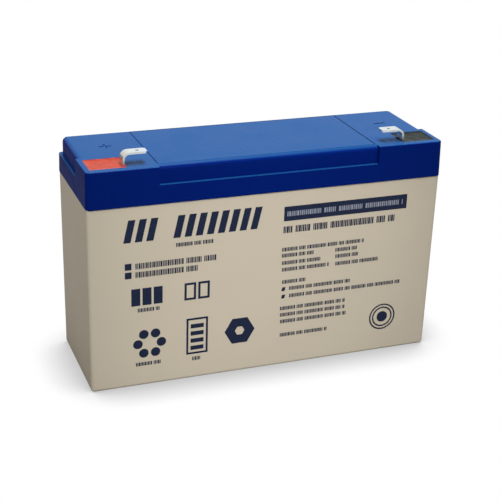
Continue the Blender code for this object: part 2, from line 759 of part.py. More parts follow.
def build_plate_group(builder, cell, pole):
    """The plates of one polarity in one cell, burned to their cast strap."""
    positive = pole == "positive"
    count = POSITIVE_PLATES if positive else NEGATIVE_PLATES
    thickness = POSITIVE_THICKNESS if positive else NEGATIVE_THICKNESS
    side = positive_side(cell) if positive else -positive_side(cell)
    joined_end = -1 if positive else 1
    has_link = 0 <= cell + joined_end < CELLS
    y = side * LUG_OFFSET
    half = LUG_WIDTH / 2 + STRAP_BORDER
    reach = (count - 1) / 2 * PLATE_PITCH + LUG_THICKNESS / 2 + STRAP_BORDER
    ends = [-reach, reach]
    ear_face = CELL_LENGTH / 2 - SEAT
    if has_link:
        ends[(joined_end + 1) // 2] = joined_end * (ear_face - LINK_EAR / 2)
    name = f"{pole}_plates_{cell + 1}"
    place = (cell_centre(cell), 0, 0)
    strap = block(name, (ends[0], y - half, STRAP_BASE), (ends[1], y + half, STRAP_TOP))
    group = builder.part(name, strap, "positive_paste" if positive else "lead", place)
    hidden = f"{name}_forms"
    shapes = [
        plate_row(
            builder, f"{name}_row", count, thickness, PLATE_BASE, PLATE_TOP, 0, PLATE_HALF_WIDTH, hidden,
        ),
        plate_row(
            builder, f"{name}_lugs", count, LUG_THICKNESS, PLATE_TOP - LUG_LENGTH / 2,
            STRAP_BASE + STRAP_THICKNESS / 2, y, LUG_WIDTH / 2, hidden,
        ),
    ]
    if has_link:
        west, east = sorted((joined_end * ear_face, joined_end * (ear_face - LINK_EAR)))
        ear = block(
            f"{name}_ear",
            (west, y - LINK_EAR_WIDTH / 2, LINK_HEIGHT - LINK_RADIUS - LINK_EAR_BORDER),
            (east, y + LINK_EAR_WIDTH / 2, LINK_HEIGHT + LINK_RADIUS + LINK_EAR_BORDER),
        )
        shapes.append(builder.cutter(ear, hidden))
    for shape in shapes:
        shape.location = place
    builder.combine(group, "UNION", hidden)


def build_separators(builder):
    """Glass mat sheets, each folded under and up both sides of one positive plate."""
    offset = POSITIVE_THICKNESS / 2 + SEAT + SEPARATOR / 2
    top = PLATE_TOP + SEPARATOR_OVERLAP
    base = PLATE_BASE - SEAT - SEPARATOR / 2
    path = bent_path([(-offset, top), (-offset, base), (offset, base), (offset, top)], SEPARATOR / 2 + SEAT)
    mesh = folded_sheet("separator", path, SEPARATOR_HALF_WIDTH)
    for cell in range(CELLS):
        for plate in range(POSITIVE_PLATES):
            x = cell_centre(cell) + (plate - (POSITIVE_PLATES - 1) / 2) * PLATE_PITCH
            sheet = builder.part(f"separator_{cell + 1}_{plate + 1}", mesh, "glass_mat", (x, 0, 0))
            builder.thicken(sheet, SEPARATOR)
            builder.smooth(sheet)


def build_cell_links(builder):
    """Lead slugs through the partitions, which join each cell's strap to the next cell's."""
    half = PARTITION / 2
    mesh = cylinder("cell_link", LINK_RADIUS, -half, half, (0, 0, 0), "X")
    for joint in range(CELLS - 1):
        between = (cell_centre(joint) + cell_centre(joint + 1)) / 2
        place = (between, -positive_side(joint) * LUG_OFFSET, LINK_HEIGHT)
        builder.smooth(builder.part(f"cell_link_{joint + 1}", mesh, "lead", place))


def main():
    clear_scene()
    builder = Builder()
    build_cell_cutters(builder)
    build_container(builder)
    build_seal_bead(builder)
    build_lid(builder)
    build_cover_plate(builder)
    build_valve_caps(builder)
    build_tabs(builder)
    build_resin_pads(builder)
    build_posts(builder)
    for cell in range(CELLS):
        for pole in ("positive", "negative"):
            build_plate_group(builder, cell, pole)
    build_separators(builder)
    build_cell_links(builder)


main()
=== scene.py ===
"""Looks of a sealed lead acid battery: finishes, printing, poured resin and the studio round it.

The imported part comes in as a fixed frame, in metres, with +Z up and the front at -Y. This script
gives every solid its finish, adds the printing on the front and the resin round the two tabs, and
sets up the floor, the lamps and the camera.
"""

import logging
import math
from collections.abc import Iterable, Iterator
from dataclasses import dataclass, field
from enum import Enum
from itertools import cycle, islice

import bmesh
import bpy
from mathutils import Matrix, Vector


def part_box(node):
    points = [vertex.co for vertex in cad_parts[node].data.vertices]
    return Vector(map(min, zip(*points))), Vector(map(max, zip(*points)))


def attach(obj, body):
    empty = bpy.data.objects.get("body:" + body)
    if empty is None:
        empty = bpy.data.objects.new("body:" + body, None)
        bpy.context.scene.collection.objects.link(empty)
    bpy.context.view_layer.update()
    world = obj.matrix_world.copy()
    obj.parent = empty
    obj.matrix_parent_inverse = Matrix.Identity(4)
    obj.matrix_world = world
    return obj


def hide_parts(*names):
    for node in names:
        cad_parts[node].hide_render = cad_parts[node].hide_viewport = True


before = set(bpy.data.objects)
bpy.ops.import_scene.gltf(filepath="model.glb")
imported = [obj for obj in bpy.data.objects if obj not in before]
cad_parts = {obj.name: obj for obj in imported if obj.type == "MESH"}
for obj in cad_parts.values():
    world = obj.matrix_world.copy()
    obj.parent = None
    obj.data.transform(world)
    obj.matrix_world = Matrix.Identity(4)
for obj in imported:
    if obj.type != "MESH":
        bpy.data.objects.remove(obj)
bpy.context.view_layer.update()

log = logging.getLogger("battery")

Triple = tuple[float, float, float]
Colour = Triple
Span = tuple[float, float]
Socket = bpy.types.NodeSocket
Looks = tuple[Socket, Socket, Socket]  # colour, roughness and normal

MM = 0.001
BODY = "root"

FULL: Span = (0.0, 1.0)
MIDDLE: Span = (0.3, 0.7)  # where most of a noise's values lie
WHITE = (1.0, 1.0, 1.0, 1.0)
SAME_PLACE = 1e-7  # points this close are one, in metres


class Slot(Enum):
    """Material slots of the part's record, listed for this script's own pieces."""

    CONTAINER = "container_plastic"
    RED_RESIN = "red_resin"
    BLACK_RESIN = "black_resin"


class Pole(Enum):
    """The two terminals, by the side of the lid that they stand on."""

    POSITIVE = -1
    NEGATIVE = 1


def stand(name: str, data: bpy.types.ID) -> bpy.types.Object:
    """Makes an object and puts it in the scene.

    Args:
        name: The object's name.
        data: Its mesh, lamp or camera.

    Returns:
        The new object, at the origin.
    """
    made = bpy.data.objects.new(name, data)
    bpy.context.scene.collection.objects.link(made)
    return made


class Nodes:
    """A node tree, with its nodes added and wired one by one."""

    def __init__(self, tree: bpy.types.NodeTree) -> None:
        """Takes the tree to work on."""
        self.tree = tree

    def add(self, kind: str, **settings: object) -> bpy.types.Node:
        """Adds a node.

        Args:
            kind: The node's type name.
            **settings: Properties of the node, by name.

        Returns:
            The new node.
        """
        node = self.tree.nodes.new(kind)
        for name, value in settings.items():
            setattr(node, name, value)
        return node

    def wire(self, output: Socket, target: Socket) -> None:
        """Links an output to an input."""
        self.tree.links.new(output, target)

    def combine(self, operation: str, first: Socket, second: Socket) -> Socket:
        """Works out one value from two.

        Args:
            operation: The sum to do, by Blender's name.
            first: The first value.
            second: The second value.

        Returns:
            The socket that holds the result.
        """
        sum_node = self.add("ShaderNodeMath", operation=operation)
        self.wire(first, sum_node.inputs[0])
        self.wire(second, sum_node.inputs[1])
        return sum_node.outputs["Value"]

    def between(self, source: Socket, given: Span, wanted: Span) -> Socket:
        """Maps a value from one range to another, and keeps it there.

        Args:
            source: The value.
            given: The range that it is read in.
            wanted: The range that it is turned into.

        Returns:
            The socket that holds the mapped value.
        """
        spread = self.add("ShaderNodeMapRange")
        ends = (*given, *wanted)
        for name, value in zip(("From Min", "From Max", "To Min", "To Max"), ends):
            spread.inputs[name].default_value = value
        self.wire(source, spread.inputs["Value"])
        return spread.outputs["Result"]

    def shown_by(self, kinds: tuple[str, ...]) -> Socket:
        """Gives 1 for rays that show a thing, such as those straight to the camera.

        Args:
            kinds: The kinds of rays, by the names of the light path's outputs.

        Returns:
            The socket that holds 1 or 0.
        """
        path = self.add("ShaderNodeLightPath")
        total, *others = (path.outputs[name] for name in kinds)
        for other in others:
            total = self.combine("MAXIMUM", total, other)
        return total


class NodeSheet(Nodes):
    """The nodes of a material, round its Principled shader."""

    def __init__(self, name: str) -> None:
        """Makes the material, with its shader and its coordinates.

        Args:
            name: The material's name.
        """
        self.material = bpy.data.materials.new(name)
        self.material.use_nodes = True
        super().__init__(self.material.node_tree)
        self.shader = self.tree.nodes["Principled BSDF"]
        own = self.add("ShaderNodeTexCoord").outputs
        self.place, self.facing = own["Object"], own["Normal"]

    def plain(self, **values: object) -> None:
        """Sets numbers and colours that are the same all over, on the shader's own sockets.

        Args:
            **values: The values, by the socket's name with underscores for spaces.
        """
        for name, value in values.items():
            self.shader.inputs[name.replace("_", " ")].default_value = value

    def along(self, axis: str, vector: Socket | None = None) -> Socket:
        """Gives one axis of a vector.

        Args:
            axis: X, Y or Z.
            vector: The vector, or None for the object's own coordinates.

        Returns:
            The socket that holds that axis.
        """
        parts = self.add("ShaderNodeSeparateXYZ")
        self.wire(vector or self.place, parts.inputs["Vector"])
        return parts.outputs[axis]

    def noise(
        self, scale: float, detail: float, rough: float = 0.5, stretch: Triple | None = None
    ) -> Socket:
        """Adds cloudy noise.

        Args:
            scale: Patches to the metre.
            detail: How many finer layers it has.
            rough: How strong the finer layers are.
            stretch: How many times as fine it is along each axis, or None.

        Returns:
            The socket that holds the noise, from 0 to 1.
        """
        place = self.place
        if stretch:
            mapping = self.add("ShaderNodeMapping")
            mapping.inputs["Scale"].default_value = stretch
            self.wire(place, mapping.inputs["Vector"])
            place = mapping.outputs["Vector"]
        noise = self.add("ShaderNodeTexNoise")
        noise.inputs["Scale"].default_value = scale
        noise.inputs["Detail"].default_value = detail
        noise.inputs["Roughness"].default_value = rough
        self.wire(place, noise.inputs["Vector"])
        return noise.outputs["Fac"]

    def blend(self, share: Socket, first: Colour | Socket, second: Colour) -> Socket:
        """Mixes two colours.

        Args:
            share: How much of the second colour there is.
            first: The colour at 0, plain or from another mix.
            second: The colour at 1.

        Returns:
            The socket that holds the mixed colour.
        """
        mix = self.add("ShaderNodeMix", data_type="RGBA")
        if isinstance(first, Socket):
            self.wire(first, mix.inputs[6])
        else:
            mix.inputs[6].default_value = (*first, 1.0)
        mix.inputs[7].default_value = (*second, 1.0)
        self.wire(share, mix.inputs["Factor"])
        return mix.outputs[2]

    def relief(self, height: Socket, depth: float, over: Socket | None = None) -> Socket:
        """Turns a height into a bump.

        Args:
            height: The height, from 0 to 1.
            depth: The height of 1, in metres.
            over: A coarser bump that this one lies on, or None.

        Returns:
            The socket that holds the bumped normal.
        """
        bump = self.add("ShaderNodeBump")
        bump.inputs["Strength"].default_value = 1.0
        bump.inputs["Distance"].default_value = depth
        self.wire(height, bump.inputs["Height"])
        if over:
            self.wire(over, bump.inputs["Normal"])
        return bump.outputs["Normal"]


@dataclass(frozen=True)
class Finish:
    """What every finish has, and the material that it makes once.

    Attributes:
        name: The material's name.
        colour: Its colour.
        shade: The colour of its patches, of the painted shade low in its relief, or of the painted
            reflection on a bend; or None for a darker one of its own.
        mottling: How much darker that one is, as a share.
        patches: Patches to the metre.
        roughness: The least and the most rough places.
        wear: Rougher places to the metre.
        grain: Grains of its relief to the metre.
        depth: How deep the relief is, in metres.
        gloss: How strong its mirror part is, where 0.5 is plain plastic.
        metallic: How much of a metal it is.
    """

    name: str
    colour: Colour = (0.5, 0.5, 0.5)
    shade: Colour | None = None
    mottling: float = 0.04
    patches: float = 22.0
    roughness: Span = (0.40, 0.50)
    wear: float = 90.0
    grain: float = 2600.0
    depth: float = 0.01 * MM
    gloss: float = 0.5
    metallic: float = 0.0

    def recipe(self, sheet: NodeSheet) -> Looks:
        """Gives the colour, the roughness and the normal. Each kind of finish has its own."""
        raise NotImplementedError

    def patched(self, sheet: NodeSheet, detail: float, given: Span, rough: float = 0.5) -> Socket:
        """Gives the colour with its patches.

        Args:
            sheet: The material's nodes.
            detail: How many finer layers the patches have.
            given: The range of their noise over which the shade comes in.
            rough: How strong the finer layers are.

        Returns:
            The socket that holds the colour.
        """
        share = sheet.between(sheet.noise(self.patches, detail, rough), given, FULL)
        darker = tuple(part * (1.0 - self.mottling) for part in self.colour)
        return sheet.blend(share, self.colour, self.shade or darker)

    def worn(self, sheet: NodeSheet, detail: float) -> Socket:
        """Gives the roughness, in patches with so many finer layers."""
        return sheet.between(sheet.noise(self.wear, detail), MIDDLE, self.roughness)

    def material(self) -> bpy.types.Material:
        """Gives the material, made when it is first asked for.

        Returns:
            The material.
        """
        made = bpy.data.materials.get(self.name)
        if made:
            return made
        sheet = NodeSheet(self.name)
        sheet.plain(Specular_IOR_Level=self.gloss, Metallic=self.metallic)
        for name, source in zip(("Base Color", "Roughness", "Normal"), self.recipe(sheet)):
            sheet.wire(source, sheet.shader.inputs[name])
        return sheet.material


@dataclass(frozen=True)
class MouldedPlastic(Finish):
    """Injection moulded plastic, with faint flow patches and a fine grain from the mould.

    Attributes:
        ripple: Slow ripples of the wall to the metre.
        ripple_depth: How deep they are, in metres.
        painted_sheen: The paler colour painted on faces that look up, a painted sheen standing in
            for reflected sky light, or None.
        painted_sheen_level: How far a face looks up where the painted sheen starts and where it is
            full.
    """

    ripple: float = 60.0
    ripple_depth: float = 0.0
    painted_sheen: Colour | None = None
    painted_sheen_level: Span = (0.55, 0.95)

    def recipe(self, sheet: NodeSheet) -> Looks:
        """Makes the grained plastic."""
        colour = self.patched(sheet, 3.0, (0.35, 0.7))
        # Painted sheen: faces that look up are blended towards a paler blue, standing in for
        # reflected sky light.
        if self.painted_sheen:
            level = sheet.between(sheet.along("Z", sheet.facing), self.painted_sheen_level, FULL)
            colour = sheet.blend(level, colour, self.painted_sheen)
        ripple = sheet.relief(sheet.noise(self.ripple, 0.0), self.ripple_depth)
        normal = sheet.relief(sheet.noise(self.grain, 1.0), self.depth, ripple)
        return colour, self.worn(sheet, 4.0), normal


@dataclass(frozen=True)
class TinnedStrip(Finish):
    """Tin plated brass strip, with shallow dents and the fine lines of rolling.

    Attributes:
        bend: Where along X the strip's bend starts and ends, where a darker, yellower painted
            reflection lies.
        bend_reflection_share: How much of the shade colour is painted on the bend, as a painted
            reflection.
        lines: How the rolling lines are drawn out on each axis, in lines to the metre.
        line_depth: How deep they are, in metres.
    """

    colour: Colour = (0.58, 0.64, 0.70)
    # The shade colour serves the tin's random patches and the painted reflection on the bend.
    shade: Colour = (0.56, 0.54, 0.44)
    patches: float = 420.0
    roughness: Span = (0.24, 0.36)
    grain: float = 350.0
    depth: float = 0.03 * MM
    metallic: float = 0.92
    bend: Span = (0.0564, 0.0592)
    bend_reflection_share: float = 0.9
    lines: Triple = (180.0, 9000.0, 180.0)
    line_depth: float = 0.004 * MM

    def recipe(self, sheet: NodeSheet) -> Looks:
        """Makes the rolled metal. Its lines run along the strip, so they change across Y only."""
        lines = sheet.noise(1.0, 3.0, 0.6, self.lines)
        patches = sheet.between(sheet.noise(self.patches, 3.0), (0.40, 0.80), FULL)
        # Painted reflection: the bend is blended towards the darker, yellower shade colour.
        outward = sheet.add("ShaderNodeMath", operation="ABSOLUTE")
        sheet.wire(sheet.along("X"), outward.inputs[0])
        painted_bend = sheet.between(outward.outputs["Value"], self.bend, (0.0, self.bend_reflection_share))
        colour = sheet.blend(sheet.combine("MAXIMUM", patches, painted_bend), self.colour, self.shade)
        dents = sheet.relief(sheet.noise(self.grain, 1.0), self.depth)
        normal = sheet.relief(lines, self.line_depth, dents)
        return colour, sheet.between(lines, MIDDLE, self.roughness), normal


@dataclass(frozen=True)
class PouredResin(Finish):
    """Poured epoxy resin, glossy, a little mottled and wavy, with the odd bubble.

    Attributes:
        bubbles: Burst bubbles to the metre.
        bubble_depth: How deep they are, in metres.
    """

    mottling: float = 0.2
    patches: float = 260.0
    roughness: Span = (0.18, 0.32)
    wear: float = 500.0
    grain: float = 300.0
    depth: float = 0.12 * MM
    bubbles: float = 420.0
    bubble_depth: float = 0.05 * MM

    def recipe(self, sheet: NodeSheet) -> Looks:
        """Makes the resin."""
        colour = self.patched(sheet, 4.0, (0.4, 0.75))
        cells = sheet.add("ShaderNodeTexVoronoi")
        cells.inputs["Scale"].default_value = self.bubbles
        sheet.wire(sheet.place, cells.inputs["Vector"])
        bubbles = sheet.between(cells.outputs["Distance"], (0.0, 0.16), FULL)
        waves = sheet.relief(sheet.noise(self.grain, 1.0), self.depth)
        normal = sheet.relief(bubbles, self.bubble_depth, waves)
        return colour, self.worn(sheet, 3.0), normal


@dataclass(frozen=True)
class CastMetal(Finish):
    """Cast lead, dull and bluish, with a grey bloom of oxide in patches."""

    colour: Colour = (0.42, 0.43, 0.46)
    shade: Colour = (0.22, 0.23, 0.25)
    patches: float = 140.0
    roughness: Span = (0.45, 0.75)
    wear: float = 600.0
    grain: float = 1100.0
    depth: float = 0.06 * MM
    metallic: float = 0.85

    def recipe(self, sheet: NodeSheet) -> Looks:
        """Makes the cast surface."""
        colour = self.patched(sheet, 5.0, (0.35, 0.65), 0.6)
        normal = sheet.relief(sheet.noise(self.grain, 4.0), self.depth)
        return colour, self.worn(sheet, 2.0), normal


@dataclass(frozen=True)
class DryPowder(Finish):
    """Matt, porous surface: pressed paste, glass fibre mat or moulded rubber.

    Attributes:
        fibre: How the grain is drawn out on each axis, in grains to the metre.
    """

    roughness: Span = (0.80, 0.95)
    depth: float = 0.05 * MM
    fibre: Triple = (1500.0, 1500.0, 1500.0)

    def recipe(self, sheet: NodeSheet) -> Looks:
        """Makes the porous surface."""
        threads = sheet.noise(1.0, 4.0, 0.65, self.fibre)
        # Painted shade: where the relief is low, the colour is blended towards the darker shade
        # colour.
        shaded_hollows = sheet.between(threads, (0.4, 0.65), (1.0, 0.0))
        colour = sheet.blend(shaded_hollows, self.colour, self.shade)
        roughness = sheet.between(threads, MIDDLE, self.roughness)
        return colour, roughness, sheet.relief(threads, self.depth)


@dataclass(frozen=True)
class ScreenInk(Finish):
    """Screen printed ink, thin in patches, which shows the grain of the plastic beneath."""

    colour: Colour = (0.012, 0.019, 0.048)
    shade: Colour = (0.026, 0.035, 0.070)
    patches: float = 1800.0
    roughness: Span = (0.42, 0.58)
    wear: float = 400.0
    depth: float = 0.008 * MM
    gloss: float = 0.08

    def recipe(self, sheet: NodeSheet) -> Looks:
        """Makes the printed ink."""
        colour = self.patched(sheet, 4.0, (0.5, 0.75), 0.7)
        normal = sheet.relief(sheet.noise(self.grain, 1.0), self.depth)
        return colour, self.worn(sheet, 2.0), normal


CASE_PLASTIC = MouldedPlastic(
    "case_plastic_warm_grey",
    colour=(0.655, 0.580, 0.455),
    mottling=0.035,
    roughness=(0.42, 0.55),
    grain=2400.0,
    depth=0.014 * MM,
    ripple_depth=0.03 * MM,
    gloss=0.03,
)
LID_PLASTIC = MouldedPlastic(
    "lid_plastic_deep_blue",
    colour=(0.0003, 0.0125, 0.150),
    mottling=0.03,
    roughness=(0.24, 0.34),
    grain=1500.0,
    depth=0.004 * MM,
    ripple_depth=0.02 * MM,
    gloss=0.026,
    # The paler blue of the painted sheen on faces that look up.
    painted_sheen=(0.007, 0.055, 0.182),
)
TAB_METAL = TinnedStrip("tab_tin_plate")
RED_RESIN = PouredResin(
    "resin_orange_red", colour=(0.330, 0.035, 0.0155), mottling=0.25, gloss=0.06
)
BLACK_RESIN = PouredResin(
    "resin_black", colour=(0.014, 0.020, 0.018), mottling=0.4, roughness=(0.16, 0.30), gloss=0.02
)
JOINT_RESIN = PouredResin("resin_joint", colour=(0.03, 0.03, 0.035))
LEAD = CastMetal("lead_cast")
NEGATIVE_PLATE = CastMetal(
    "plate_negative_grey", colour=(0.26, 0.27, 0.28), shade=(0.17, 0.18, 0.19), metallic=0.25
)
POSITIVE_PLATE = DryPowder(
    "plate_positive_brown", colour=(0.10, 0.045, 0.025), shade=(0.045, 0.02, 0.012)
)
GLASS_MAT = DryPowder(
    "mat_glass_fibre",
    colour=(0.82, 0.83, 0.80),
    shade=(0.62, 0.63, 0.61),
    fibre=(900.0, 5200.0, 2400.0),
)
RUBBER = DryPowder(
    "rubber_black",
    colour=(0.022, 0.022, 0.023),
    shade=(0.012, 0.012, 0.013),
    roughness=(0.55, 0.75),
    depth=0.02 * MM,
)
NAVY_INK = ScreenInk("ink_navy")
BARE_PLASTIC = ScreenInk(
    "plastic_between_ink", colour=(0.31, 0.33, 0.40), shade=(0.19, 0.21, 0.28)
)
POLE_RESINS = {
    Pole.POSITIVE: (RED_RESIN, Slot.RED_RESIN),
    Pole.NEGATIVE: (BLACK_RESIN, Slot.BLACK_RESIN),
}


class MeshNodes(Nodes):
    """A geometry node group that changes a mesh."""

    def __init__(self, name: str) -> None:
        """Makes the group, with the angle at each edge to test.

        Args:
            name: The group's name.
        """
        super().__init__(bpy.data.node_groups.new(name, "GeometryNodeTree"))
        ends = self.tree.interface
        for way in ("INPUT", "OUTPUT"):
            ends.new_socket("Geometry", in_out=way, socket_type="NodeSocketGeometry")
        self.angle = self.add("GeometryNodeInputMeshEdgeAngle").outputs["Unsigned Angle"]

    def test(self, value: Socket, operation: str, limit: float) -> Socket:
        """Compares a value with a limit.

        Args:
            value: The value.
            operation: The comparison, by Blender's name.
            limit: What the value is compared with.

        Returns:
            The socket that holds true or false.
        """
        node = self.add("FunctionNodeCompare", operation=operation)
        node.inputs["B"].default_value = limit
        self.wire(value, node.inputs["A"])
        return node.outputs["Result"]

    def finished(self, *steps: bpy.types.Node) -> bpy.types.NodeTree:
        """Wires steps one after the other, from the group's input to its output.

        Args:
            *steps: The nodes that change the mesh, in their order.

        Returns:
            The group.
        """
        chain = (self.add("NodeGroupInput"), *steps, self.add("NodeGroupOutput"))
        for before, after in zip(chain, chain[1:]):
            self.wire(before.outputs["Geometry"], after.inputs["Geometry"])
        return self.tree


@dataclass
class Workshop:
    """Dresses the solids of the frame, and turns new meshes into pieces.

    Attributes:
        weld: Points of a solid's loose triangles this close are made one, in metres.
        smooth_angle: Faces that meet at less than this shade as one, in radians.
        flat_angle: Triangles that meet at less than this are one flat face, in radians.
        foot_angle: Edges at the floor are rounded where faces meet at more, in radians.
        foot_zone: Edges lower than this are at the floor, in metres.
        foot_steps: How many faces the round at the floor has.
        face_weight: How strongly large faces set the normals round them, up to 100.
        group: The node group that smooths every solid.
    """

    weld: float = 0.002 * MM
    smooth_angle: float = math.radians(32)
    flat_angle: float = math.radians(0.3)
    foot_angle: float = math.radians(60)
    foot_zone: float = 0.1 * MM
    foot_steps: int = 5
    face_weight: int = 100
    group: bpy.types.NodeTree = field(init=False)

    def __post_init__(self) -> None:
        """Makes the shared smoothing group."""
        self.group = self.smooth_group()

    def smooth_group(self) -> bpy.types.NodeTree:
        """Makes the node group that shades faces smooth, and keeps sharp edges sharp.

        Returns:
            The geometry node group.
        """
        nodes = MeshNodes("smooth_by_angle")
        faces = nodes.add("GeometryNodeSetShadeSmooth")
        edges = nodes.add("GeometryNodeSetShadeSmooth", domain="EDGE")
        below = nodes.test(nodes.angle, "LESS_THAN", self.smooth_angle)
        nodes.wire(below, edges.inputs["Shade Smooth"])
        return nodes.finished(faces, edges)

    def foot_group(self) -> bpy.types.NodeTree:
        """Makes the node group that marks the sharp edges at the floor for the bevel after it.

        Returns:
            The geometry node group.
        """
        nodes = MeshNodes("mark_foot")
        place = nodes.add("ShaderNodeSeparateXYZ")
        where = nodes.add("GeometryNodeInputPosition").outputs["Position"]
        nodes.wire(where, place.inputs["Vector"])
        low = nodes.test(place.outputs["Z"], "LESS_THAN", self.foot_zone)
        sharp = nodes.test(nodes.angle, "GREATER_THAN", self.foot_angle)
        both = nodes.add("FunctionNodeBooleanMath", operation="AND")
        nodes.wire(low, both.inputs[0])
        nodes.wire(sharp, both.inputs[1])
        mark = nodes.add("GeometryNodeStoreNamedAttribute", data_type="FLOAT", domain="EDGE")
        mark.inputs["Name"].default_value = "bevel_weight_edge"
        mark.inputs["Value"].default_value = 1.0
        nodes.wire(both.outputs["Boolean"], mark.inputs["Selection"])
        return nodes.finished(mark)

    def dress(self, node: str, finish: Finish, foot_round: float = 0.0) -> None:
        """Gives a solid of the frame its finish, with its triangles joined and its rounds smooth.

        Args:
            node: The solid's name.
            finish: What it is made of.
            foot_round: The radius of its edges at the floor, in metres, or 0 to leave them.
        """
        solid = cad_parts[node]
        solid.data.materials.clear()
        solid.data.materials.append(finish.material())
        steps = solid.modifiers
        steps.new("weld", "WELD").merge_threshold = self.weld
        if foot_round:
            flats = steps.new("flats", "DECIMATE")
            flats.decimate_type, flats.angle_limit = "DISSOLVE", self.flat_angle
            steps.new("mark_foot", "NODES").node_group = self.foot_group()
            bevel = steps.new("foot_round", "BEVEL")
            bevel.limit_method, bevel.use_clamp_overlap = "WEIGHT", False
            bevel.width, bevel.segments = foot_round, self.foot_steps
        steps.new("smooth", "NODES").node_group = self.group
        level = steps.new("level", "WEIGHTED_NORMAL")
        level.mode, level.weight, level.keep_sharp = "FACE_AREA", self.face_weight, True
        log.info("dressed %s with %s", node, finish.name)

    def dress_all(self, nodes: Iterable[str], finish: Finish) -> None:
        """Gives several solids the same finish."""
        for node in nodes:
            self.dress(node, finish)

    def piece(
        self,
        name: str,
        bm: bmesh.types.BMesh,
        finish: Finish,
        slot: Slot,
        stands_for: str | None = None,
    ) -> None:
        """Turns a finished mesh into a piece that rides on the part.

        Args:
            name: The piece's name.
            bm: Its mesh, in place, which is freed.
            finish: What it is made of.
            slot: The record's slot that the finish belongs to; not used.
            stands_for: The solid that it replaces, or None.
        """
        bmesh.ops.recalc_face_normals(bm, faces=bm.faces)
        mesh = bpy.data.meshes.new(name)
        bm.to_mesh(mesh)
        bm.free()
        mesh.materials.append(finish.material())
        made = stand(name, mesh)
        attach(made, BODY)
        if stands_for:
            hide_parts(stands_for)
        log.info("built %s, %d faces", name, len(mesh.polygons))


@dataclass
class Case:
    """The container, the lid, the plate over the valves and the resin of their joint.

    Attributes:
        foot_round: The radius of the container's edges at the floor, in metres.
    """

    workshop: Workshop
    foot_round: float = 1.4 * MM

    def build(self) -> None:
        """Dresses the mouldings."""
        self.workshop.dress("container", CASE_PLASTIC, self.foot_round)
        self.workshop.dress_all(("lid", "cover_plate"), LID_PLASTIC)
        self.workshop.dress("seal_bead", JOINT_RESIN)


@dataclass
class Cells:
    """What the cells hold, and the rubber caps of their valves.

    Attributes:
        cells: How many cells there are.
        sheets: How many separators each cell has.
    """

    workshop: Workshop
    cells: int = 3
    sheets: int = 4

    def build(self) -> None:
        """Dresses the plates, the separators, the lead work and the caps."""
        numbers = range(1, self.cells + 1)
        self.workshop.dress_all((f"positive_plates_{cell}" for cell in numbers), POSITIVE_PLATE)
        self.workshop.dress_all((f"negative_plates_{cell}" for cell in numbers), NEGATIVE_PLATE)
        for cell in numbers:
            names = (f"separator_{cell}_{sheet}" for sheet in range(1, self.sheets + 1))
            self.workshop.dress_all(names, GLASS_MAT)
        self.workshop.dress_all((f"cell_link_{joint}" for joint in range(1, self.cells)), LEAD)
        self.workshop.dress_all((f"valve_cap_{cell}" for cell in numbers), RUBBER)


def open_edges(bm: bmesh.types.BMesh) -> list[bmesh.types.BMEdge]:
    """Gives the edges at which a mesh is still open."""
    return [edge for edge in bm.edges if edge.is_boundary]


